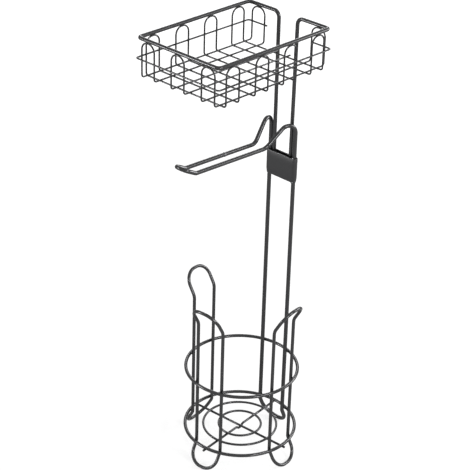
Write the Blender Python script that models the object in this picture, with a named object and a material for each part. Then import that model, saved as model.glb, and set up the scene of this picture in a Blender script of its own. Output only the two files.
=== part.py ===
"""Free-standing toilet roll holder with a storage rack below and a wire basket on top.

Every piece is a bent and welded steel wire, except the sheet-metal socket that the basket plugs into.
Lengths are in metres, +Z is up and -Y is the front, where the roll arm points.
"""
from math import acos, ceil, cos, pi, radians, sin, sqrt, tan

import bmesh
import bpy
from mathutils import Matrix, Vector

# Wires: diameters, and how they are drawn
frame_wire = 0.0055
rim_wire = 0.0050
rack_wire = 0.0045
floor_wire = 0.0032
mesh_wire = 0.0020
weld_gap = 0.0003
thick_sides = 8
thin_sides = 6
bend_step = radians(20)
ring_step = radians(6)

# Storage rack: rings, loops and floor
rack_radius = 0.0754
rack_floor_height = 0.0303
upper_ring_height = 0.1244
middle_ring_radius = 0.0504
inner_ring_radius = 0.0291
bar_overhang = 0.0005
bar_dip_length = 0.0045
bar_dip_bend = 0.0030
loop_width = 0.0412
loop_height = 0.2473
loop_top_rise = 0.0296
loop_top_flare = 0.0171
foot_bend_height = 0.0285
foot_flare = 0.0149
foot_knee_radius = 0.0060
top_knee_radius = 0.0160
end_flat = 0.0040
loop_turn = radians(5)

# Frame: uprights and roll arm
upright_spacing = 0.0418
frame_shift = 0.0024
back_foot_flare = 0.0115
hairpin_height = 0.4827
hairpin_radius = 0.0125
arm_spacing = 0.0188
arm_start = 0.0423
arm_start_drop = 0.0403
arm_start_radius = 0.0140
arm_length = 0.1235
arm_rise = radians(3)
tip_length = 0.0205
tip_rise = radians(27)
tip_radius = 0.0045

# Socket: the flat sleeve round the uprights, its top a drop below the hairpins' corner
socket_height = 0.0343
socket_drop = 0.0634
socket_wall = 0.0012
socket_clearance = 0.0004
upright_hole_clearance = 0.0003
socket_taper = 0.0007
socket_taper_height = 0.0070
socket_end_steps = 8
cut_overrun = 0.0010

# Basket: rim, legs, band and hoops, its floor a rise above the hairpins' corner
basket_rise = 0.0731
basket_width = 0.1326
basket_length = 0.1888
basket_depth = 0.0512
rim_corner = 0.0050
leg_bend = 0.0085
leg_spacing_top = 0.0310
leg_spacing_bottom = 0.0277
band_drop = 0.0259
band_corner = 0.0035
band_overhang = 0.0025
hoop_width = 0.0212
hoop_top_flat = 0.0020
hoop_bottom_radius = 0.0035
hoop_end_overhang = 0.0025
cross_hoop_pitch = 0.0487
long_hoop_pitch = 0.0498
cross_hoop_count = 4
cross_hoop_shift = 0.0018

# Sizes worked out from the ones above
upright_ring_radius = rack_radius - rack_wire / 2 - frame_wire / 2 - weld_gap
upright_y = sqrt(upright_ring_radius ** 2 - (upright_spacing / 2 + frame_shift) ** 2)
loop_ring_radius = rack_radius - rack_wire - weld_gap
loop_reach = sqrt(loop_ring_radius ** 2 - (loop_width / 2) ** 2)
bar_height = rack_floor_height - rack_wire / 2 - floor_wire / 2 - weld_gap
floor_ring_height = bar_height + floor_wire + weld_gap
flat_share = cos(pi / thick_sides)
socket_bottom = hairpin_height - socket_drop - socket_height
arm_start_y = upright_y - arm_start
arm_start_z = hairpin_height - arm_start_drop
arm_end_y = arm_start_y - arm_length
arm_end_z = arm_start_z + arm_length * tan(arm_rise)
tip_y = arm_end_y - tip_length * cos(tip_rise)
tip_z = arm_end_z + tip_length * sin(tip_rise)
cross_floor = hairpin_height + basket_rise
rim_height = cross_floor + basket_depth
basket_middle_y = -basket_length / 2
cross_hoop_y = basket_middle_y + cross_hoop_shift
hoop_top = rim_height - rim_wire / 2 - mesh_wire / 2 - weld_gap
long_floor = cross_floor + mesh_wire + weld_gap
band_height = rim_height - band_drop
band_offset = mesh_wire + weld_gap
leg_end = socket_bottom + socket_wall + weld_gap
socket_half_depth = frame_wire / 2 + socket_clearance + socket_wall

# The origin is on the floor, midway between the front of the basket's band and the back foot
front_reach = upright_y - basket_length - band_offset - mesh_wire / 2
back_reach = upright_y + back_foot_flare + frame_wire / 2 * flat_share
rack_axis_y = -(front_reach + back_reach) / 2


def clear_scene():
    """Starts from an empty file."""
    for thing in list(bpy.data.objects):
        bpy.data.objects.remove(thing, do_unlink=True)


def coated_steel(name, shade, roughness):
    """Powder-coated steel wire or sheet in one shade of dark grey."""
    material = bpy.data.materials.new(name)
    material.use_nodes = True
    surface = material.node_tree.nodes["Principled BSDF"]
    surface.inputs["Base Color"].default_value = (shade, shade, shade * 1.02, 1)
    surface.inputs["Roughness"].default_value = roughness
    surface.inputs["Metallic"].default_value = 0.55
    return material


def rounded(corners, radii, closed=False):
    """The corner points with each inner corner replaced by an arc of its radius."""
    points = [Vector(corner) for corner in corners]
    count = len(points)
    route = []
    for index, corner in enumerate(points):
        at_end = not closed and index in (0, count - 1)
        if at_end or radii[index] == 0:
            route.append(corner)
            continue
        back = (points[index - 1] - corner).normalized()
        ahead = (points[(index + 1) % count] - corner).normalized()
        opening = acos(max(-1, min(1, back.dot(ahead))))
        reach = radii[index] / tan(opening / 2)
        centre = corner + (back + ahead).normalized() * radii[index] / sin(opening / 2)
        turn = pi - opening
        steps = max(2, ceil(turn / bend_step))
        arm = corner + back * reach - centre
        axis = back.cross(ahead)
        for step in range(steps + 1):
            route.append(centre + Matrix.Rotation(-turn * step / steps, 3, axis) @ arm)
    return route


def wire_mesh(name, route, diameter, sides, facing, closed=False):
    """A straight length of polygon bar along each stretch, mitred where two stretches meet."""
    count = len(route)
    first = (route[1] - route[0]).normalized()
    out = (Vector(facing) - first * first.dot(Vector(facing))).normalized()
    across = first.cross(out)
    ring = []
    for side in range(sides):
        angle = (side + 0.5) * 2 * pi / sides
        ring.append(route[0] + (out * cos(angle) + across * sin(angle)) * diameter / 2)
    if closed:
        before = (route[0] - route[-1]).normalized()
        ring = cut_to_mitre(ring, route[0], first, before + first)
    mesh = bmesh.new()
    rings = [[mesh.verts.new(point) for point in ring]]
    for index in range(1, count):
        along = (route[index] - route[index - 1]).normalized()
        last = index == count - 1
        if last and not closed:
            plane = along
        else:
            plane = along + (route[(index + 1) % count] - route[index]).normalized()
        ring = cut_to_mitre(ring, route[index], along, plane)
        rings.append([mesh.verts.new(point) for point in ring])
    pairs = list(zip(rings, rings[1:]))
    if closed:
        pairs.append((rings[-1], rings[0]))
    for near, far in pairs:
        for side in range(sides):
            following = (side + 1) % sides
            mesh.faces.new((near[side], near[following], far[following], far[side]))
    if not closed:
        mesh.faces.new(reversed(rings[0]))
        mesh.faces.new(rings[-1])
    bmesh.ops.recalc_face_normals(mesh, faces=mesh.faces)
    data = bpy.data.meshes.new(name)
    mesh.to_mesh(data)
    mesh.free()
    data.shade_smooth()
    data.set_sharp_from_angle(angle=radians(60))
    return data


def cut_to_mitre(ring, point, along, plane):
    """Slides each corner of a section along the bar until it lies on the mitre plane."""
    normal = plane.normalized()
    return [corner + along * (point - corner).dot(normal) / along.dot(normal) for corner in ring]


def place(name, data, material, stand, turn=0):
    """One piece of the holder, turned about the rack's axis."""
    piece = bpy.data.objects.new(name, data)
    piece.data.materials.append(material)
    piece.rotation_euler = (0, 0, turn)
    piece.parent = stand
    bpy.context.scene.collection.objects.link(piece)
    return piece


def mirrored(half):
    """A closed run of corners from its right-hand half, which starts and ends on the middle plane."""
    return half + [(-x, y, z) for x, y, z in reversed(half[1:-1])]


def frame_wire_mesh():
    """One closed loop of wire: back foot, two uprights, a hairpin on each, two arm rails and the tip."""
    side = upright_spacing / 2
    rail = arm_spacing / 2
    foot_y = upright_y + back_foot_flare
    foot_z = frame_wire / 2 * flat_share
    half = [(0, foot_y, foot_z), (side, foot_y, foot_z), (side, upright_y, foot_bend_height),
            (side, upright_y, hairpin_height), (rail, arm_start_y, arm_start_z),
            (rail, arm_end_y, arm_end_z), (rail, tip_y, tip_z), (0, tip_y, tip_z)]
    bends = [0, side - end_flat / 2, foot_knee_radius, hairpin_radius, arm_start_radius,
             tip_radius, rail - end_flat / 4, 0]
    route = rounded(mirrored(half), bends + bends[-2:0:-1], closed=True)
    return wire_mesh("frame_wire", route, frame_wire, thick_sides, (0, 0, -1), closed=True)


def rack_loop_mesh():
    """One closed loop of wire, standing at +X: flared foot, two legs and a flared top."""
    side = loop_width / 2
    foot_z = rack_wire / 2 * flat_share
    top_bend = loop_height - rack_wire / 2 - loop_top_rise
    foot_x = loop_reach + foot_flare
    top_x = loop_reach + loop_top_flare
    top_z = loop_height - rack_wire / 2
    half = [(foot_x, 0, foot_z), (foot_x, side, foot_z), (loop_reach, side, foot_bend_height),
            (loop_reach, side, top_bend), (top_x, side, top_z), (top_x, 0, top_z)]
    corners = half + [(x, -y, z) for x, y, z in reversed(half[1:-1])]
    end_radius = side - end_flat / 2
    bends = [0, end_radius, foot_knee_radius, top_knee_radius, end_radius, 0]
    route = rounded(corners, bends + bends[-2:0:-1], closed=True)
    return wire_mesh("rack_loop", route, rack_wire, thick_sides, (0, 0, -1), closed=True)


def ring_mesh(name, radius, height, diameter, sides):
    """A hoop of wire about the rack's axis, butt-welded into a full circle."""
    steps = round(2 * pi / ring_step)
    route = [Vector((radius * cos(2 * pi * step / steps), radius * sin(2 * pi * step / steps), height))
             for step in range(steps)]
    return wire_mesh(name, route, diameter, sides, (0, 0, -1), closed=True)


def straight_bar_mesh():
    """The floor bar that lies straight across the rack, under the rings."""
    reach = rack_radius + rack_wire / 2 + bar_overhang
    route = [Vector((-reach, 0, bar_height)), Vector((reach, 0, bar_height))]
    return wire_mesh("side_floor_bar", route, floor_wire, thin_sides, (0, 0, -1))


def dipped_bar_mesh():
    """The floor bar that dips under the straight one where the two cross."""
    reach = rack_radius + rack_wire / 2 + bar_overhang
    low = bar_height - floor_wire - weld_gap
    near = bar_dip_length / 2
    far = near + bar_dip_length
    corners = [(0, -reach, bar_height), (0, -far, bar_height), (0, -near, low),
               (0, near, low), (0, far, bar_height), (0, reach, bar_height)]
    route = rounded(corners, [0] + [bar_dip_bend] * 4 + [0])
    return wire_mesh("front_floor_bar", route, floor_wire, thin_sides, (0, 0, -1))


def rim_wire_mesh():
    """One wire: leg, half the back, side, front, side, half the back and leg."""
    half_width = basket_width / 2
    corners = [(-leg_spacing_bottom / 2, 0, leg_end), (-leg_spacing_top / 2, 0, rim_height),
               (-half_width, 0, rim_height), (-half_width, -basket_length, rim_height)]
    corners += [(-x, y, z) for x, y, z in reversed(corners)]
    bends = [0, leg_bend, rim_corner, rim_corner]
    route = rounded(corners, bends + bends[::-1])
    return wire_mesh("basket_rim", route, rim_wire, thick_sides, (0, 1, 0))


def band_mesh():
    """The wire round the outside of the hoops, open at the back between the two back hoops."""
    half_width = basket_width / 2 + band_offset
    front_y = -basket_length - band_offset
    end_x = long_hoop_pitch - hoop_width / 2 - band_overhang
    corners = [(-end_x, band_offset, band_height), (-half_width, band_offset, band_height),
               (-half_width, front_y, band_height)]
    corners += [(-x, y, z) for x, y, z in reversed(corners)]
    bends = [0, band_corner, band_corner]
    return wire_mesh("basket_band", rounded(corners, bends + bends[::-1]), mesh_wire, thin_sides, (0, 0, 1))


def closed_hoop_mesh(name, half_span, floor_height):
    """A closed hoop lying along Y: an arch at each end, and two wires across the basket's floor."""
    side = hoop_width / 2
    quarter = [(0, half_span, hoop_top), (side, half_span, hoop_top), (side, half_span, floor_height)]
    half = quarter + [(x, -y, z) for x, y, z in reversed(quarter)]
    top_bend = side - hoop_top_flat / 2
    bends = [0, top_bend, hoop_bottom_radius, hoop_bottom_radius, top_bend, 0]
    route = rounded(mirrored(half), bends + bends[-2:0:-1], closed=True)
    return wire_mesh(name, route, mesh_wire, thin_sides, (0, 0, 1), closed=True)


def open_hoop_mesh():
    """The middle hoop: an arch at the front, and two floor wires that end at the last cross hoop."""
    side = hoop_width / 2
    last_cross = cross_hoop_y + (cross_hoop_count - 1) / 2 * cross_hoop_pitch + hoop_width / 2
    end_y = last_cross + mesh_wire / 2 + hoop_end_overhang
    half = [(side, end_y, long_floor), (side, -basket_length, long_floor), (side, -basket_length, hoop_top)]
    corners = half + [(-x, y, z) for x, y, z in reversed(half)]
    bends = [0, hoop_bottom_radius, side - hoop_top_flat / 2]
    return wire_mesh("middle_hoop", rounded(corners, bends + bends[::-1]), mesh_wire, thin_sides, (0, 0, -1))


def flat_tube(half_depth, height):
    """Corners of a flattened tube's outline at one height, its half-round ends about the uprights."""
    outline = []
    for side in (1, -1):
        for step in range(socket_end_steps + 1):
            angle = pi * (step / socket_end_steps - 0.5 * side)
            outline.append((side * upright_spacing / 2 + half_depth * cos(angle), half_depth * sin(angle), height))
    return outline


def loft(name, outlines):
    """A closed solid through a stack of like outlines, with its two ends capped."""
    mesh = bmesh.new()
    rings = [[mesh.verts.new(point) for point in outline] for outline in outlines]
    for low, high in zip(rings, rings[1:]):
        for index in range(len(low)):
            following = (index + 1) % len(low)
            mesh.faces.new((low[index], low[following], high[following], high[index]))
    mesh.faces.new(reversed(rings[0]))
    mesh.faces.new(rings[-1])
    bmesh.ops.recalc_face_normals(mesh, faces=mesh.faces)
    data = bpy.data.meshes.new(name)
    mesh.to_mesh(data)
    mesh.free()
    return data


def cut(piece, name, data, location, stand):
    """Takes a hidden cutter's shape out of a piece."""
    cutter = bpy.data.objects.new(name, data)
    cutter.location = location
    cutter.hide_render = True
    cutter.display_type = "WIRE"
    cutter.parent = stand
    bpy.context.scene.collection.objects.link(cutter)
    change = piece.modifiers.new(name, "BOOLEAN")
    change.operation = "DIFFERENCE"
    change.solver = "EXACT"
    change.object = cutter


def hole_outline(height):
    """Corners of the round hole for an upright, at one height."""
    radius = frame_wire / 2 + upright_hole_clearance
    count = 2 * thick_sides
    return [(radius * cos(2 * pi * step / count), radius * sin(2 * pi * step / count), height)
            for step in range(count)]


def make_socket(material, stand):
    """A flattened tube of sheet steel round the uprights, with a floor that the basket's legs stand on."""
    floor = socket_bottom + socket_wall
    top = socket_bottom + socket_height
    outlines = [flat_tube(socket_half_depth - socket_taper, socket_bottom),
                flat_tube(socket_half_depth, socket_bottom + socket_taper_height),
                flat_tube(socket_half_depth, top)]
    socket = place("basket_socket", loft("basket_socket", outlines), material, stand)
    socket.location = (0, upright_y, 0)
    inner = [flat_tube(socket_half_depth - socket_wall, height) for height in (floor, top + cut_overrun)]
    cut(socket, "socket_cavity", loft("socket_cavity", inner), (0, upright_y, 0), stand)
    for name, side in (("left_upright_hole", -1), ("right_upright_hole", 1)):
        ends = (socket_bottom - cut_overrun, floor + cut_overrun)
        hole = loft(name, [hole_outline(height) for height in ends])
        cut(socket, name, hole, (side * upright_spacing / 2, upright_y, 0), stand)


def make_rack(rack_steel, stand):
    """Two outer rings, a floor of two rings on crossed bars, and three upright loops."""
    outer = ring_mesh("outer_ring", rack_radius, 0, rack_wire, thick_sides)
    for name, height in (("lower_ring", rack_floor_height), ("upper_ring", upper_ring_height)):
        ring = place(name, outer.copy(), rack_steel, stand)
        ring.location = (0, 0, height)
    for name, radius in (("middle_floor_ring", middle_ring_radius), ("inner_floor_ring", inner_ring_radius)):
        data = ring_mesh(name, radius, floor_ring_height, floor_wire, thin_sides)
        place(name, data, rack_steel, stand)
    place("side_floor_bar", straight_bar_mesh(), rack_steel, stand, loop_turn)
    place("front_floor_bar", dipped_bar_mesh(), rack_steel, stand, loop_turn)
    loop = rack_loop_mesh()
    for name, quarters in (("right_loop", 0), ("left_loop", 2), ("front_loop", 3)):
        place(name, loop.copy(), rack_steel, stand, quarters * pi / 2 + loop_turn)


def make_basket(rim_steel, mesh_steel, slide):
    """The rim wire with its two legs, the band, and the hoops that make the sides and the floor."""
    place("basket_rim", rim_wire_mesh(), rim_steel, slide)
    place("basket_band", band_mesh(), mesh_steel, slide)
    place("middle_hoop", open_hoop_mesh(), mesh_steel, slide)
    cross = closed_hoop_mesh("cross_hoop", basket_width / 2, cross_floor)
    for number in range(cross_hoop_count):
        hoop = place(f"cross_hoop_{number + 1}", cross.copy(), mesh_steel, slide, pi / 2)
        shift = (number - (cross_hoop_count - 1) / 2) * cross_hoop_pitch
        hoop.location = (0, cross_hoop_y + shift, 0)
    long = closed_hoop_mesh("long_hoop", basket_length / 2, long_floor)
    for name, side in (("left_hoop", -1), ("right_hoop", 1)):
        hoop = place(name, long.copy(), mesh_steel, slide)
        hoop.location = (side * long_hoop_pitch, basket_middle_y, 0)


def empty(name, location):
    """An empty that pieces hang on."""
    point = bpy.data.objects.new(name, None)
    point.location = location
    bpy.context.scene.collection.objects.link(point)
    return point


def build():
    """The whole holder: the rack about its own axis, and the frame that stands a little to its left."""
    clear_scene()
    rack = empty("rack_axis", (0, rack_axis_y, 0))
    frame = empty("frame_middle", (-frame_shift, rack_axis_y, 0))
    slide = empty("basket_slide", (-frame_shift, rack_axis_y + upright_y, 0))
    frame_steel = coated_steel("frame_steel", 0.055, 0.42)
    rack_steel = coated_steel("rack_steel", 0.060, 0.44)
    socket_steel = coated_steel("socket_steel", 0.050, 0.50)
    rim_steel = coated_steel("rim_steel", 0.058, 0.42)
    mesh_steel = coated_steel("mesh_steel", 0.062, 0.46)
    place("frame_wire", frame_wire_mesh(), frame_steel, frame)
    make_socket(socket_steel, frame)
    make_rack(rack_steel, rack)
    make_basket(rim_steel, mesh_steel, slide)


build()
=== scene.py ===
"""A free-standing toilet roll holder of bent and welded wire: a round rack for spare rolls, a roll arm bent
from the uprights' own wire, and a basket that plugs into a flat sleeve. Lengths are in metres."""

from math import acos, ceil, cos, pi, radians, sin, tan

import bmesh
import bpy
from mathutils import Matrix, Vector, noise


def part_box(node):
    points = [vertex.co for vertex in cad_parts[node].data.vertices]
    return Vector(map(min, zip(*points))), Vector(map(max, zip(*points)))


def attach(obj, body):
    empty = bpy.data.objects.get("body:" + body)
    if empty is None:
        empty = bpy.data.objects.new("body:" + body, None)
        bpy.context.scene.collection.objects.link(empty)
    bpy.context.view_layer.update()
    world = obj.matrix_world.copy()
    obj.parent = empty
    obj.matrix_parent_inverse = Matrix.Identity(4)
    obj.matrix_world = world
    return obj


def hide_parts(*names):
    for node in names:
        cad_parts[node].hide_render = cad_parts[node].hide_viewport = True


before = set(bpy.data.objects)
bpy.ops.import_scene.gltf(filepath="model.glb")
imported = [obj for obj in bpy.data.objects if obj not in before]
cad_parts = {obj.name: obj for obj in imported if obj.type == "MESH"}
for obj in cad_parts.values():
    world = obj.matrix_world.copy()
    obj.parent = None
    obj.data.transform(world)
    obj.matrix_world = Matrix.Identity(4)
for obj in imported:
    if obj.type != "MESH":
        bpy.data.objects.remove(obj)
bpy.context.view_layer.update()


# The powder coat. After welding, the whole holder gets one coat of dark grey powder, baked to a satin gloss.
# It shows a faint orange peel, a slow drift of shade, and a little dust where it faces up.
def powder_coat_texture():
    """The group that every coated piece takes its colour, roughness and height from."""
    group = bpy.data.node_groups.new("powder coat texture", "ShaderNodeTree")
    sockets = group.interface
    for name, kind, value in (("Shade", "NodeSocketColor", (0.05, 0.05, 0.05, 1)),
                              ("Shade Drift", "NodeSocketFloat", 0.15),
                              ("Drift Scale", "NodeSocketFloat", 16.0),
                              ("Peel Scale", "NodeSocketFloat", 900.0),
                              ("Roughness", "NodeSocketFloat", 0.4),
                              ("Roughness Spread", "NodeSocketFloat", 0.08),
                              ("Dust Colour", "NodeSocketColor", (0.3, 0.3, 0.3, 1)),
                              ("Dust", "NodeSocketFloat", 0.05)):
        socket = sockets.new_socket(name=name, in_out="INPUT", socket_type=kind)
        socket.default_value = value
    sockets.new_socket(name="Colour", in_out="OUTPUT", socket_type="NodeSocketColor")
    sockets.new_socket(name="Roughness", in_out="OUTPUT", socket_type="NodeSocketFloat")
    sockets.new_socket(name="Height", in_out="OUTPUT", socket_type="NodeSocketFloat")
    nodes, link = group.nodes, group.links.new
    given = nodes.new("NodeGroupInput")
    result = nodes.new("NodeGroupOutput")
    place = nodes.new("ShaderNodeTexCoord")
    facing = nodes.new("ShaderNodeNewGeometry")

    def noise_at(scale, detail):
        """Solid noise at a given fineness, a number or the name of an input of the group."""
        texture = nodes.new("ShaderNodeTexNoise")
        texture.inputs["Detail"].default_value = detail
        link(place.outputs["Object"], texture.inputs["Vector"])
        if isinstance(scale, str):
            link(given.outputs[scale], texture.inputs["Scale"])
        else:
            texture.inputs["Scale"].default_value = scale
        return texture.outputs["Fac"]

    def reckon(kind, first, second):
        """One sum on two sockets or numbers."""
        step = nodes.new("ShaderNodeMath")
        step.operation = kind
        for index, value in enumerate((first, second)):
            if isinstance(value, (int, float)):
                step.inputs[index].default_value = value
            else:
                link(value, step.inputs[index])
        return step.outputs[0]

    drift = reckon("SUBTRACT", noise_at("Drift Scale", 3), 0.5)
    gain = reckon("ADD", reckon("MULTIPLY", drift, given.outputs["Shade Drift"]), 1.0)
    tinted = nodes.new("ShaderNodeVectorMath")
    tinted.operation = "SCALE"
    link(given.outputs["Shade"], tinted.inputs[0])
    link(gain, tinted.inputs["Scale"])

    dust_scale = 260.0
    dust_steepness = 3.0
    dust_dulling = 2.0
    split = nodes.new("ShaderNodeSeparateXYZ")
    link(facing.outputs["Normal"], split.inputs[0])
    upward = reckon("MAXIMUM", split.outputs["Z"], 0.0)
    settled = reckon("MULTIPLY", reckon("POWER", upward, dust_steepness), noise_at(dust_scale, 4))
    amount = reckon("MULTIPLY", settled, given.outputs["Dust"])
    dusty = nodes.new("ShaderNodeMix")
    dusty.data_type = "RGBA"
    link(amount, dusty.inputs["Factor"])
    link(tinted.outputs[0], dusty.inputs["A"])
    link(given.outputs["Dust Colour"], dusty.inputs["B"])
    link(dusty.outputs["Result"], result.inputs["Colour"])

    patch_scale = 70.0
    patches = reckon("SUBTRACT", noise_at(patch_scale, 4), 0.5)
    uneven = reckon("MULTIPLY", patches, given.outputs["Roughness Spread"])
    rougher = reckon("ADD", uneven, reckon("MULTIPLY", amount, dust_dulling))
    link(reckon("ADD", given.outputs["Roughness"], rougher), result.inputs["Roughness"])

    grit_scale = 4200.0
    grit_share = 0.15
    peel = noise_at("Peel Scale", 2)
    grit = reckon("MULTIPLY", noise_at(grit_scale, 1), grit_share)
    link(reckon("ADD", peel, grit), result.inputs["Height"])
    return group


coat_texture = powder_coat_texture()


def coated_steel(name, shade, gloss_roughness, peel_depth, peel_scale=900.0, dust=0.05):
    """Steel under the grey powder coat, in one piece's own shade and smoothness."""
    material = bpy.data.materials.new(name)
    material.use_nodes = True
    nodes, link = material.node_tree.nodes, material.node_tree.links.new
    surface = nodes["Principled BSDF"]
    texture = nodes.new("ShaderNodeGroup")
    texture.node_tree = coat_texture
    blue_share = 1.03
    texture.inputs["Shade"].default_value = (shade, shade, shade * blue_share, 1)
    texture.inputs["Roughness"].default_value = gloss_roughness
    texture.inputs["Peel Scale"].default_value = peel_scale
    texture.inputs["Dust"].default_value = dust
    relief = nodes.new("ShaderNodeBump")
    relief.inputs["Strength"].default_value = 0.15
    relief.inputs["Distance"].default_value = peel_depth
    link(texture.outputs["Colour"], surface.inputs["Base Color"])
    link(texture.outputs["Roughness"], surface.inputs["Roughness"])
    link(texture.outputs["Height"], relief.inputs["Height"])
    link(relief.outputs["Normal"], surface.inputs["Normal"])
    surface.inputs["Metallic"].default_value = 0.75
    surface.inputs["Specular IOR Level"].default_value = 0.3
    surface.inputs["Specular Tint"].default_value = (0.5, 0.5, 0.5, 1)
    return material


# Frame wire. One 5.5 mm steel wire is bent into the back foot, the two uprights, a hairpin on each, and the
# two rails and upturned tip of the roll arm. Its ends are butt-welded in the left rail.
def bend(corners, radii, closed=False):
    """The corner points with each corner rounded to its radius in small steps."""
    widest_step = radians(6)
    fewest_steps = 3
    points = [Vector(corner) for corner in corners]
    count = len(points)
    route = []
    for index, corner in enumerate(points):
        if radii[index] == 0 or (not closed and index in (0, count - 1)):
            route.append(corner)
            continue
        back = (points[index - 1] - corner).normalized()
        ahead = (points[(index + 1) % count] - corner).normalized()
        opening = acos(max(-1, min(1, back.dot(ahead))))
        centre = corner + (back + ahead).normalized() * radii[index] / sin(opening / 2)
        arm = corner + back * radii[index] / tan(opening / 2) - centre
        turn = pi - opening
        steps = max(fewest_steps, ceil(turn / widest_step))
        for count_up in range(steps + 1):
            swing = Matrix.Rotation(-turn * count_up / steps, 3, back.cross(ahead))
            route.append(centre + swing @ arm)
    return route


def onto_mitre(section, point, along, plane):
    """A section slid along the wire until it lies on the plane between two stretches."""
    normal = plane.normalized()
    return [corner + along * (point - corner).dot(normal) / along.dot(normal) for corner in section]


def finished(name, mesh):
    """The mesh as an object, facing out and shaded smooth."""
    bmesh.ops.recalc_face_normals(mesh, faces=mesh.faces)
    data = bpy.data.meshes.new(name)
    mesh.to_mesh(data)
    mesh.free()
    sharp_from = radians(50)
    data.shade_smooth()
    data.set_sharp_from_angle(angle=sharp_from)
    piece = bpy.data.objects.new(name, data)
    bpy.context.scene.collection.objects.link(piece)
    return piece


def round_wire(name, route, diameter, sides, closed=False):
    """A round wire along its route. Where it isn't closed, its sheared ends are a little rounded."""
    radius = diameter / 2
    count = len(route)
    sheared_end = ((0.72, 0.0), (0.90, 0.05), (1.0, 0.22))  # width, and distance inwards, as radius shares
    first = (route[1] - route[0]).normalized()
    side = first.orthogonal().normalized()
    other = first.cross(side)
    angles = [2 * pi * turn / sides for turn in range(sides)]
    circle = [side * cos(angle) + other * sin(angle) for angle in angles]
    sections = []
    if closed:
        before = (route[0] - route[-1]).normalized()
        section = [route[0] + spoke * radius for spoke in circle]
        section = onto_mitre(section, route[0], first, before + first)
        sections.append(section)
    else:
        for share, inset in sheared_end:
            start = route[0] + first * inset * radius
            section = [start + spoke * radius * share for spoke in circle]
            sections.append(section)
    for index in range(1, count):
        along = (route[index] - route[index - 1]).normalized()
        if index == count - 1 and not closed:
            for share, inset in reversed(sheared_end):
                end = route[index] - along * inset * radius
                flat = onto_mitre(section, end, along, along)
                sections.append([end + (corner - end) * share for corner in flat])
            break
        plane = along + (route[(index + 1) % count] - route[index]).normalized()
        section = onto_mitre(section, route[index], along, plane)
        sections.append(section)
    mesh = bmesh.new()
    rings = [[mesh.verts.new(corner) for corner in section] for section in sections]
    pairs = list(zip(rings, rings[1:]))
    if closed:
        pairs.append((rings[-1], rings[0]))
    for near, far in pairs:
        for turn in range(sides):
            following = (turn + 1) % sides
            mesh.faces.new((near[turn], near[following], far[following], far[turn]))
    if not closed:
        mesh.faces.new(reversed(rings[0]))
        mesh.faces.new(rings[-1])
    return finished(name, mesh)


def mirrored(half):
    """A closed run of corners from the half that starts and ends on the middle plane."""
    return half + [(-x, y, z) for x, y, z in reversed(half[1:-1])]


def there_and_back(bends):
    """The bends of a closed run of corners, from those of its first half."""
    return bends + bends[-2:0:-1]


def moved(route, x, y, turn=0.0):
    """A route turned about Z and set down at x and y."""
    swing = Matrix.Rotation(turn, 3, "Z")
    return [swing @ Vector(point) + Vector((x, y, 0)) for point in route]


socket_low, socket_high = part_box("basket_socket")
ring_low, ring_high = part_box("upper_ring")
middle_x = (socket_low.x + socket_high.x) / 2
upright_y = (socket_low.y + socket_high.y) / 2
axis_y = (ring_low.y + ring_high.y) / 2

frame_dia = 0.0055
upright_half = 0.0209
foot_y = 0.01125
foot_bend = 0.0189
knee_z = 0.0285
knee_bend = 0.0060
hairpin_z = 0.4827
hairpin_bend = 0.0125
rail_half = 0.0094
rail_back_y = -0.0423
rail_back_z = 0.4424
rail_bend = 0.0140
rail_length = 0.1235
rail_rise = radians(3)
tip_length = 0.0205
tip_rise = radians(27)
tip_bend = 0.0045
tip_corner = 0.0084
rail_front_y = rail_back_y - rail_length
rail_front_z = rail_back_z + rail_length * tan(rail_rise)
tip_y = rail_front_y - tip_length * cos(tip_rise)
tip_z = rail_front_z + tip_length * sin(tip_rise)

frame_corners = mirrored([
    (0, foot_y, frame_dia / 2), (upright_half, foot_y, frame_dia / 2), (upright_half, 0, knee_z),
    (upright_half, 0, hairpin_z), (rail_half, rail_back_y, rail_back_z),
    (rail_half, rail_front_y, rail_front_z), (rail_half, tip_y, tip_z), (0, tip_y, tip_z)])
frame_bends = there_and_back([0, foot_bend, knee_bend, hairpin_bend, rail_bend, tip_bend, tip_corner, 0])
frame_route = moved(bend(frame_corners, frame_bends, closed=True), middle_x, upright_y)
frame_steel = coated_steel("frame_steel", shade=0.047, gloss_roughness=0.20, peel_depth=0.00006)
frame_piece = round_wire("bent_frame_wire", frame_route, frame_dia, sides=24, closed=True)
frame_piece.data.materials.append(frame_steel)
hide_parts("frame_wire")
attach(frame_piece, "stand")


# Butt weld. The two ends of the frame wire meet almost half-way out along the left rail, where the upset
# weld stands a little proud all round. The coat lies thinner and glossier on it, and its lighter shade
# there is a painted highlight.
def weld_collar(mesh, place, along, wire_radius, half_length, height, seed):
    """A low, uneven bead round a wire, with its edges sunk into it."""
    sink = 0.00012
    fullness = 0.8
    unevenness = 0.35
    lumps_round, lumps_along = 3, 2
    side = along.orthogonal().normalized()
    other = along.cross(side)
    turns, rows = 24, 8
    rings = []
    for row in range(rows + 1):
        share = row / rows * 2 - 1
        swell = cos(share * pi / 2) ** fullness
        ring = []
        for turn in range(turns):
            angle = 2 * pi * turn / turns
            spoke = side * cos(angle) + other * sin(angle)
            spot = Vector((lumps_round * cos(angle), lumps_round * sin(angle), share * lumps_along + seed))
            lump = 1 + unevenness * noise.noise(spot)
            reach = wire_radius - sink + (height + sink) * swell * lump
            ring.append(mesh.verts.new(place + along * half_length * share + spoke * reach))
        rings.append(ring)
    for near, far in zip(rings, rings[1:]):
        for turn in range(turns):
            following = (turn + 1) % turns
            mesh.faces.new((near[turn], near[following], far[following], far[turn]))
    mesh.faces.new(reversed(rings[0]))
    mesh.faces.new(rings[-1])


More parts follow.
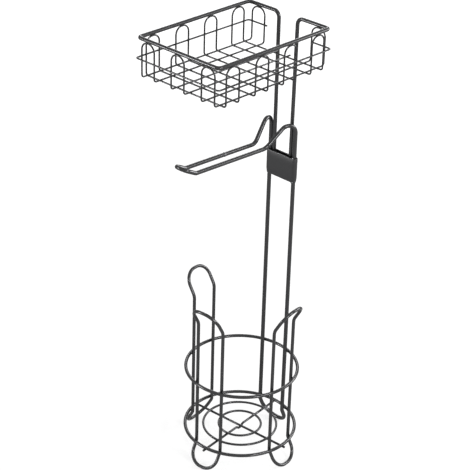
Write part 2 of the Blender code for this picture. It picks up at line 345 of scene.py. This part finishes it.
butt_share = 0.449
butt_half = 0.0013
butt_height = 0.00032
rail_along = Vector((0, -cos(rail_rise), sin(rail_rise)))
butt_place = Vector((middle_x - rail_half, upright_y + rail_back_y - butt_share * rail_length,
                     rail_back_z + butt_share * rail_length * tan(rail_rise)))
# The weld beads' coat is glossier, and its lighter shade is a painted highlight of the light that curved
# beads catch.
bead_steel_painted_highlight = coated_steel("bead_steel_painted_highlight", shade=0.11, gloss_roughness=0.16, peel_depth=0.00010)
butt_mesh = bmesh.new()
weld_collar(butt_mesh, butt_place, rail_along, frame_dia / 2, butt_half, butt_height, seed=4)
butt_weld = finished("rail_butt_weld", butt_mesh)
butt_weld.data.materials.append(bead_steel_painted_highlight)
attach(butt_weld, "stand")


# Socket. A flat sleeve of 1.2 mm sheet steel wraps the two uprights, its ends bent round the wires, and is
# drawn in towards them at the bottom. Its open top takes the two legs of the basket.
def stadium(x, y, z, half_width, radius):
    """The outline of a flat tube with half-round ends, at one height."""
    round_steps, flat_steps = 14, 6
    outline = []
    for side in (1, -1):
        for step in range(round_steps + 1):
            angle = -pi / 2 + pi * step / round_steps
            outline.append(Vector((x + side * (half_width - radius + radius * cos(angle)),
                                   y + side * radius * sin(angle), z)))
        for step in range(1, flat_steps):
            along = (half_width - radius) * (1 - 2 * step / flat_steps)
            outline.append(Vector((x + side * along, y + side * radius, z)))
    return outline


sleeve_bottom, sleeve_top = socket_low.z, socket_high.z
sleeve_half = (socket_high.x - socket_low.x) / 2
sleeve_radius = (socket_high.y - socket_low.y) / 2
sheet = 0.0012
# Each row of the sleeve is how far in it lies from the outside, and how high above the bottom.
drawn_in_rows = [(0.0016, 0.0000), (0.0011, 0.0001), (0.0009, 0.0006), (0.0006, 0.0022), (0.0003, 0.0045),
                 (0.0001, 0.0068)]
straight_rows = [(0.0000, 0.0092), (0.0000, 0.0170), (0.0000, 0.0250), (0.0000, 0.0337)]
edge_rows = [(0.0001, 0.0340), (0.0003, 0.03423), (0.0006, 0.0343), (0.0009, 0.03423), (0.0011, 0.0340)]
inside_rows = [(sheet, 0.0337), (sheet, 0.0250), (sheet, 0.0120), (sheet, 0.0016), (0.0015, sheet)]
sleeve_mesh = bmesh.new()
sleeve_rings = []
for inset, rise in drawn_in_rows + straight_rows + edge_rows + inside_rows:
    outline = stadium(middle_x, upright_y, sleeve_bottom + rise, sleeve_half - inset, sleeve_radius - inset)
    sleeve_rings.append([sleeve_mesh.verts.new(point) for point in outline])
for near, far in zip(sleeve_rings, sleeve_rings[1:]):
    for index in range(len(near)):
        following = (index + 1) % len(near)
        sleeve_mesh.faces.new((near[index], near[following], far[following], far[index]))
sleeve_mesh.faces.new(reversed(sleeve_rings[0]))
sleeve_mesh.faces.new(sleeve_rings[-1])
socket_steel = coated_steel("socket_steel", shade=0.043, gloss_roughness=0.32, peel_depth=0.00008,
                            peel_scale=700.0, dust=0.03)
sleeve = finished("socket_sleeve", sleeve_mesh)
sleeve.data.materials.append(socket_steel)
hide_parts("basket_socket")
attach(sleeve, "stand")


# Rack rings. Two outer rings of 4.5 mm wire go round the outside of the loops, and two of 3.2 mm lie on the
# crossed floor bars. Each is rolled to a circle and closed by a butt weld that the coat hides.
ring_wire = 0.0045
floor_wire = 0.0032
outer_radius = 0.0754
lower_z = 0.0303
upper_z = 0.1244
floor_ring_z = 0.02965
middle_radius = 0.0504
inner_radius = 0.0291
rack_steel = coated_steel("rack_steel", shade=0.047, gloss_roughness=0.20, peel_depth=0.00005)


def ring_route(radius, z):
    """A full circle about the rack's axis."""
    steps = 120
    angles = [2 * pi * step / steps for step in range(steps)]
    return [Vector((radius * cos(angle), axis_y + radius * sin(angle), z)) for angle in angles]


def rack_wire_piece(name, node, route, diameter, closed=True):
    """One coated wire of the rack, in place of its node."""
    sides = 20 if diameter == ring_wire else 16
    piece = round_wire(name, route, diameter, sides, closed)
    piece.data.materials.append(rack_steel)
    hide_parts(node)
    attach(piece, "stand")


rack_wire_piece("lower_outer_ring", "lower_ring", ring_route(outer_radius, lower_z), ring_wire)
rack_wire_piece("upper_outer_ring", "upper_ring", ring_route(outer_radius, upper_z), ring_wire)
rack_wire_piece("middle_ring", "middle_floor_ring", ring_route(middle_radius, floor_ring_z), floor_wire)
rack_wire_piece("inner_ring", "inner_floor_ring", ring_route(inner_radius, floor_ring_z), floor_wire)


# Floor bars. Two 3.2 mm wires cross under the rings, a few degrees off square to the frame. The one from
# front to back dips under the other, and all four sheared ends reach just past the lower ring.
rack_turn = radians(5)
weld_gap = 0.0003
bar_reach = 0.07815
bar_z = 0.02615
low_z = bar_z - floor_wire - weld_gap
dip_near = 0.00225
dip_far = 0.00675
dip_bend = 0.003
side_bar = moved([(-bar_reach, 0, bar_z), (bar_reach, 0, bar_z)], 0, axis_y, rack_turn)
rack_wire_piece("side_bar", "side_floor_bar", side_bar, floor_wire, closed=False)
dip_corners = [(0, -bar_reach, bar_z), (0, -dip_far, bar_z), (0, -dip_near, low_z), (0, dip_near, low_z),
               (0, dip_far, bar_z), (0, bar_reach, bar_z)]
dip_bends = [0, dip_bend, dip_bend, dip_bend, dip_bend, 0]
dipped_bar = moved(bend(dip_corners, dip_bends), 0, axis_y, rack_turn)
rack_wire_piece("dipped_bar", "front_floor_bar", dipped_bar, floor_wire, closed=False)


# Rack loops. Three closed loops of 4.5 mm wire stand inside the rings, at the front and at both sides. Each
# bends out at the bottom into a foot and at the top into a flared lip that guides the rolls in.
loop_half = 0.0206
loop_reach = 0.06753
foot_flare = 0.0147
lip_flare = 0.01685
lip_z = 0.24505
lip_rise = 0.0296
lip_bend = 0.0160
end_bend = 0.0186
foot_x = loop_reach + foot_flare
lip_x = loop_reach + lip_flare
loop_corners = [(foot_x, 0, ring_wire / 2), (foot_x, loop_half, ring_wire / 2),
                (loop_reach, loop_half, knee_z), (loop_reach, loop_half, lip_z - lip_rise),
                (lip_x, loop_half, lip_z), (lip_x, 0, lip_z)]
loop_corners += [(x, -y, z) for x, y, z in reversed(loop_corners[1:-1])]
loop_bends = there_and_back([0, end_bend, knee_bend, lip_bend, end_bend, 0])
loop_shape = bend(loop_corners, loop_bends, closed=True)
loop_turns = [("right_loop", 0), ("left_loop", pi), ("front_loop", -pi / 2)]
for node, quarter in loop_turns:
    loop_route = moved(loop_shape, 0, axis_y, quarter + rack_turn)
    rack_wire_piece(node + "_wire", node, loop_route, ring_wire)


# Rack welds. Each wire is resistance-welded where it crosses another: the two are squeezed together, and a
# little steel is pushed out of the joint on both sides and coated over.
def squeezed_weld(mesh, place, first, second, size, seed):
    """A small uneven pad of pushed-out steel between two wires that run along first and second."""
    unevenness = 0.22
    lump_fineness = 1.7
    sideways_share = 0.37
    length, width, height = size
    across = first.cross(second).normalized()
    second = across.cross(first).normalized()
    ball = bmesh.ops.create_icosphere(mesh, subdivisions=2, radius=1.0)
    for vertex in ball["verts"]:
        point = vertex.co.copy()
        spot = point * lump_fineness + Vector((seed, seed * sideways_share, 0))
        lump = 1 + unevenness * noise.noise(spot)
        point = point * lump
        flat_part = place + first * point.x * length + second * point.y * width
        vertex.co = flat_part + across * point.z * height


up = Vector((0, 0, 1))
rack_weld_mesh = bmesh.new()
seed = 0.0
seed_step = 1.3
post_weld = (0.0015, 0.0014, 0.00065)
bar_weld = (0.0011, 0.0011, 0.0005)
contact_radius = outer_radius - ring_wire / 2 - weld_gap / 2
posts = []
for node, quarter in loop_turns:
    for side in (-1, 1):
        leg = Matrix.Rotation(quarter + rack_turn, 3, "Z") @ Vector((loop_reach, side * loop_half, 0))
        posts.append(leg)
for side in (-1, 1):
    posts.append(Vector((middle_x + side * upright_half, upright_y - axis_y, 0)))
for post in posts:
    outward = post.normalized()
    around = up.cross(outward)
    for z in (lower_z, upper_z):
        seed += seed_step
        place = outward * contact_radius + Vector((0, axis_y, z))
        squeezed_weld(rack_weld_mesh, place, around, up, post_weld, seed)
rings_on_bars = [(outer_radius, lower_z - ring_wire / 2), (middle_radius, floor_ring_z - floor_wire / 2),
                 (inner_radius, floor_ring_z - floor_wire / 2)]
for bar_angle in (rack_turn, rack_turn + pi / 2):
    for side in (-1, 1):
        outward = Vector((cos(bar_angle), sin(bar_angle), 0)) * side
        around = up.cross(outward)
        for radius, underside in rings_on_bars:
            seed += seed_step
            place = outward * radius + Vector((0, axis_y, underside - weld_gap / 2))
            squeezed_weld(rack_weld_mesh, place, around, outward, bar_weld, seed)
bar_along = Vector((cos(rack_turn), sin(rack_turn), 0))
bar_crossing = Vector((0, axis_y, bar_z - floor_wire / 2 - weld_gap / 2))
squeezed_weld(rack_weld_mesh, bar_crossing, bar_along, up.cross(bar_along), bar_weld, seed=77)
rack_welds = finished("rack_welds", rack_weld_mesh)
rack_welds.data.materials.append(rack_steel)
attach(rack_welds, "stand")


# Socket welds. Short beads hold the sleeve to each upright, at the front edge of its top and of its bottom.
# The right-hand ones are the larger, and show as small bright lumps; their lighter shade is a painted
# highlight.
right = Vector((1, 0, 0))
top_bead = (0.0017, 0.0024, 0.0013)
top_bead_inset = 0.0008
top_bead_drop = 0.0006
bottom_bead = (0.0018, 0.0017, 0.0012)
bottom_bead_inset = 0.0013
bottom_bead_rise = 0.0002
sleeve_front_y = upright_y - sleeve_radius
socket_weld_mesh = bmesh.new()
for side, share in ((-1, 0.6), (1, 1.0)):
    upright_x = middle_x + side * upright_half
    top_place = Vector((upright_x, sleeve_front_y + top_bead_inset, sleeve_top - top_bead_drop))
    top_size = [reach * share for reach in top_bead]
    squeezed_weld(socket_weld_mesh, top_place, right, up, top_size, seed=5 + side)
    bottom_place = Vector((upright_x, sleeve_front_y + bottom_bead_inset, sleeve_bottom + bottom_bead_rise))
    bottom_size = [reach * share for reach in bottom_bead]
    squeezed_weld(socket_weld_mesh, bottom_place, right, up, bottom_size, seed=9 + side)
socket_welds = finished("socket_welds", socket_weld_mesh)
# The socket's beads take the same lighter coat, a painted highlight.
socket_welds.data.materials.append(bead_steel_painted_highlight)
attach(socket_welds, "stand")


# Basket rim. One 5 mm wire makes both legs, the two halves of the back, the sides and the front. The legs
# lean together a little and stand on the floor of the sleeve.
rim_dia = 0.0050
rim_z = 0.6068
rim_corner = 0.0050
basket_half = 0.0663
basket_length = 0.1888
leg_top = 0.0155
leg_foot = 0.01385
leg_bend = 0.0085
leg_end_rise = 0.0015
rim_corners = [(-leg_foot, 0, sleeve_bottom + leg_end_rise), (-leg_top, 0, rim_z), (-basket_half, 0, rim_z),
               (-basket_half, -basket_length, rim_z)]
rim_corners += [(-x, y, z) for x, y, z in reversed(rim_corners)]
rim_bends = [0, leg_bend, rim_corner, rim_corner]
rim_route = moved(bend(rim_corners, rim_bends + rim_bends[::-1]), middle_x, upright_y)
rim_steel = coated_steel("rim_steel", shade=0.047, gloss_roughness=0.20, peel_depth=0.00006)
rim_piece = round_wire("rim_and_legs", rim_route, rim_dia, sides=22)
rim_piece.data.materials.append(rim_steel)
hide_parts("basket_rim")
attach(rim_piece, "basket")


# Basket wires. A band of 2 mm wire, a little thicker with its coat, goes round the outside of hoops of the
# same wire: four closed ones across the basket, and two closed and an open one along it. Their floor wires
# make the mesh.
mesh_wire = 0.0022
mesh_steel = coated_steel("mesh_steel", shade=0.042, gloss_roughness=0.22, peel_depth=0.00004,
                          peel_scale=1300.0)


def mesh_wire_piece(name, node, route, closed=True):
    """One thin coated wire of the basket, in place of its node."""
    piece = round_wire(name, moved(route, middle_x, upright_y), mesh_wire, sides=14, closed=closed)
    piece.data.materials.append(mesh_steel)
    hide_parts(node)
    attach(piece, "basket")


band_z = 0.5811
band_out = 0.0022
band_half = basket_half + band_out
band_end = 0.0367
band_corner = 0.0035
band_corners = [(-band_end, band_out, band_z), (-band_half, band_out, band_z),
                (-band_half, -basket_length - band_out, band_z)]
band_corners += [(-x, y, z) for x, y, z in reversed(band_corners)]
band_bends = [0, band_corner, band_corner]
band_route = bend(band_corners, band_bends + band_bends[::-1])
mesh_wire_piece("side_band", "basket_band", band_route, closed=False)

hoop_half = 0.0106
hoop_top_z = 0.6031
cross_floor_z = 0.5558
long_floor_z = 0.5581
arch_flat_half = 0.0010
arch_bend = hoop_half - arch_flat_half
floor_bend = 0.0035


def hoop_shape(half_span, floor_z):
    """A closed hoop along Y about its own middle: an arch at each end and two floor wires."""
    quarter = [(0, half_span, hoop_top_z), (hoop_half, half_span, hoop_top_z),
               (hoop_half, half_span, floor_z)]
    half = quarter + [(x, -y, z) for x, y, z in reversed(quarter)]
    bends = there_and_back([0, arch_bend, floor_bend, floor_bend, arch_bend, 0])
    return bend(mirrored(half), bends, closed=True)


cross_count = 4
cross_pitch = 0.0487
cross_shift = 0.0018
long_pitch = 0.0498
floor_wire_overhang = 0.0025
basket_middle = -basket_length / 2
cross_middle = basket_middle + cross_shift
cross_steps = [number - (cross_count - 1) / 2 for number in range(cross_count)]
cross_places = [cross_middle + step * cross_pitch for step in cross_steps]
for number, place_y in enumerate(cross_places):
    shape = moved(hoop_shape(basket_half, cross_floor_z), 0, place_y, pi / 2)
    mesh_wire_piece(f"cross_hoop_wire_{number + 1}", f"cross_hoop_{number + 1}", shape)
for node, side in (("left_hoop", -1), ("right_hoop", 1)):
    shape = moved(hoop_shape(basket_length / 2, long_floor_z), side * long_pitch, basket_middle)
    mesh_wire_piece(node + "_wire", node, shape)
middle_end = cross_places[-1] + hoop_half + mesh_wire / 2 + floor_wire_overhang
middle_corners = [(hoop_half, middle_end, long_floor_z), (hoop_half, -basket_length, long_floor_z),
                  (hoop_half, -basket_length, hoop_top_z)]
middle_corners += [(-x, y, z) for x, y, z in reversed(middle_corners)]
middle_bends = [0, floor_bend, arch_bend]
middle_route = bend(middle_corners, middle_bends + middle_bends[::-1])
mesh_wire_piece("middle_hoop_wire", "middle_hoop", middle_route, closed=False)


# Basket welds. The arches are welded up against the rim, the band to every arch leg, and the floor wires to
# each other wherever they cross.
basket_weld_mesh = bmesh.new()
arch_weld = (0.0024, 0.0008, 0.00045)
mesh_weld = (0.0008, 0.0008, 0.0004)
along_y = Vector((0, 1, 0))
basket_place = Vector((middle_x, upright_y, 0))
arch_contact_z = hoop_top_z + mesh_wire / 2 + weld_gap / 2
long_legs = [side * long_pitch + edge * hoop_half for side in (-1, 1) for edge in (-1, 1)]
middle_legs = [-hoop_half, hoop_half]
cross_legs = [place_y + edge * hoop_half for place_y in cross_places for edge in (-1, 1)]
for place_y in cross_places:
    for side in (-1, 1):
        seed += seed_step
        place = basket_place + Vector((side * basket_half, place_y, arch_contact_z))
        squeezed_weld(basket_weld_mesh, place, along_y, right, arch_weld, seed)
end_arches = [(-long_pitch, 0), (-long_pitch, -basket_length), (long_pitch, 0), (long_pitch, -basket_length),
              (0, -basket_length)]
for x, y in end_arches:
    seed += seed_step
    place = basket_place + Vector((x, y, arch_contact_z))
    squeezed_weld(basket_weld_mesh, place, right, along_y, arch_weld, seed)
band_contact = mesh_wire / 2 + weld_gap / 2
for y in cross_legs:
    for side in (-1, 1):
        seed += seed_step
        place = basket_place + Vector((side * (basket_half + band_contact), y, band_z))
        squeezed_weld(basket_weld_mesh, place, along_y, up, mesh_weld, seed)
for x in long_legs + middle_legs:
    for y in (0, -basket_length):
        if y == 0 and x in middle_legs:
            continue
        seed += seed_step
        outward = band_contact if y == 0 else -band_contact
        place = basket_place + Vector((x, y + outward, band_z))
        squeezed_weld(basket_weld_mesh, place, right, up, mesh_weld, seed)
for x in long_legs + middle_legs:
    for y in cross_legs:
        seed += seed_step
        place = basket_place + Vector((x, y, cross_floor_z + mesh_wire / 2 + weld_gap / 2))
        squeezed_weld(basket_weld_mesh, place, right, along_y, mesh_weld, seed)
basket_welds = finished("basket_welds", basket_weld_mesh)
basket_welds.data.materials.append(mesh_steel)
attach(basket_welds, "basket")


# Studio floor. A pale floor that shows white where the camera or a reflection looks straight at it, and that
# keeps the holder's faint shadow. Its glow grows with the distance, so that it meets the white surround.
def seen_directly(nodes, link):
    """1 where the camera, a reflection or a clear body looks straight at the surface, and 0 for its light."""
    path = nodes.new("ShaderNodeLightPath")
    seen = path.outputs["Is Camera Ray"]
    for ray in ("Is Glossy Ray", "Is Transmission Ray"):
        either = nodes.new("ShaderNodeMath")
        either.operation = "MAXIMUM"
        link(seen, either.inputs[0])
        link(path.outputs[ray], either.inputs[1])
        seen = either.outputs[0]
    return seen


floor_half = 9
floor_mesh = bmesh.new()
floor_corners = [(-floor_half, -floor_half, 0), (floor_half, -floor_half, 0),
                 (floor_half, floor_half, 0), (-floor_half, floor_half, 0)]
floor_mesh.faces.new([floor_mesh.verts.new(corner) for corner in floor_corners])
floor_data = bpy.data.meshes.new("studio_floor")
floor_mesh.to_mesh(floor_data)
floor_mesh.free()
floor = bpy.data.objects.new("studio_floor", floor_data)
bpy.context.scene.collection.objects.link(floor)
floor_paint = bpy.data.materials.new("studio_floor")
floor_paint.use_nodes = True
paint_nodes, paint_link = floor_paint.node_tree.nodes, floor_paint.node_tree.links.new
paint_nodes.remove(paint_nodes["Principled BSDF"])
pale_paint = paint_nodes.new("ShaderNodeBsdfDiffuse")
pale_paint.inputs["Color"].default_value = (0.80, 0.80, 0.80, 1)
floor_place = paint_nodes.new("ShaderNodeTexCoord")
distance = paint_nodes.new("ShaderNodeVectorMath")
distance.operation = "LENGTH"
paint_link(floor_place.outputs["Object"], distance.inputs[0])
whiter = paint_nodes.new("ShaderNodeMapRange")
for name, value in (("From Min", 0.8), ("From Max", 2.4), ("To Min", 0.78), ("To Max", 1.0)):
    whiter.inputs[name].default_value = value
paint_link(distance.outputs["Value"], whiter.inputs["Value"])
glow = paint_nodes.new("ShaderNodeEmission")
paint_link(whiter.outputs["Result"], glow.inputs["Strength"])
shadowed_paint = paint_nodes.new("ShaderNodeBsdfDiffuse")
shadowed_paint.inputs["Color"].default_value = (0.26, 0.26, 0.26, 1)
glowing_paint = paint_nodes.new("ShaderNodeAddShader")
paint_link(glow.outputs[0], glowing_paint.inputs[0])
paint_link(shadowed_paint.outputs[0], glowing_paint.inputs[1])
floor_look = paint_nodes.new("ShaderNodeMixShader")
paint_link(seen_directly(paint_nodes, paint_link), floor_look.inputs["Fac"])
paint_link(pale_paint.outputs[0], floor_look.inputs[1])
paint_link(glowing_paint.outputs[0], floor_look.inputs[2])
paint_link(floor_look.outputs[0], paint_nodes["Material Output"].inputs["Surface"])
floor.data.materials.append(floor_paint)


# White surround. It closes the studio all round. The camera and the reflections see it as white, and it
# lights the holder only softly.
scene = bpy.context.scene
world = bpy.data.worlds.new("white_surround")
scene.world = world
world.use_nodes = True
sky, sky_link = world.node_tree.nodes, world.node_tree.links.new
soft_light = sky["Background"]
soft_light.inputs["Color"].default_value = (1, 1, 1, 1)
soft_light.inputs["Strength"].default_value = 0.25
white = sky.new("ShaderNodeBackground")
white.inputs["Color"].default_value = (1, 1, 1, 1)
white.inputs["Strength"].default_value = 1.0
sky_look = sky.new("ShaderNodeMixShader")
sky_link(seen_directly(sky, sky_link), sky_look.inputs["Fac"])
sky_link(soft_light.outputs[0], sky_look.inputs[1])
sky_link(white.outputs[0], sky_look.inputs[2])
sky_link(sky_look.outputs[0], sky["World Output"].inputs["Surface"])


# Soft panels. Six panels of light stand round the holder: a low one at the front left, two at the right, and
# three behind. Each draws one light line along the wires.
def soft_panel(name, place, target_z, width, height, watts):
    """A rectangular panel of light that faces a point on the holder's middle line."""
    data = bpy.data.lights.new(name, "AREA")
    data.shape = "RECTANGLE"
    data.size = width
    data.size_y = height
    data.energy = watts
    panel = bpy.data.objects.new(name, data)
    panel.location = place
    facing = Vector((0, 0, target_z)) - Vector(place)
    panel.rotation_euler = facing.to_track_quat("-Z", "Y").to_euler()
    bpy.context.scene.collection.objects.link(panel)


soft_panel("left_panel", (-1.32, -1.74, 0.55), target_z=0.35, width=0.4, height=0.45, watts=25)
soft_panel("right_panel", (1.84, 0.29, 1.50), target_z=0.35, width=0.5, height=0.5, watts=23)
soft_panel("low_right_panel", (1.92, -0.56, 0.74), target_z=0.45, width=0.3, height=0.45, watts=16)
soft_panel("back_panel", (1.10, 1.76, 0.95), target_z=0.35, width=0.9, height=0.7, watts=24)
soft_panel("low_back_panel", (0.70, 1.96, 0.72), target_z=0.45, width=0.6, height=0.5, watts=16)
soft_panel("back_left_panel", (-1.32, 1.50, 1.10), target_z=0.2, width=0.8, height=0.8, watts=19)


# Camera. It looks down on the holder from the front right, as the photograph does, with a long lens and no
# shift. Its focal length is in pixels of the photograph's 470.
focal_pixels = 1495.0
frame_pixels = 470
bearing = 0.75467
downward = 0.49612
roll = 0.02943
camera_place = Vector((1.148595, axis_y - 1.242046, 1.239914))
camera_data = bpy.data.cameras.new("camera")
camera_data.sensor_fit = "HORIZONTAL"
camera_data.sensor_width = 36.0
camera_data.lens = focal_pixels / frame_pixels * camera_data.sensor_width
camera_data.clip_start = 0.05
camera_data.clip_end = 50.0
camera = bpy.data.objects.new("camera", camera_data)
aim = Matrix.Rotation(bearing, 4, "Z") @ Matrix.Rotation(pi / 2 - downward, 4, "X")
aim = aim @ Matrix.Rotation(roll, 4, "Z")
camera.matrix_world = Matrix.Translation(camera_place) @ aim
scene.collection.objects.link(camera)
scene.camera = camera
scene.view_settings.view_transform = "Standard"
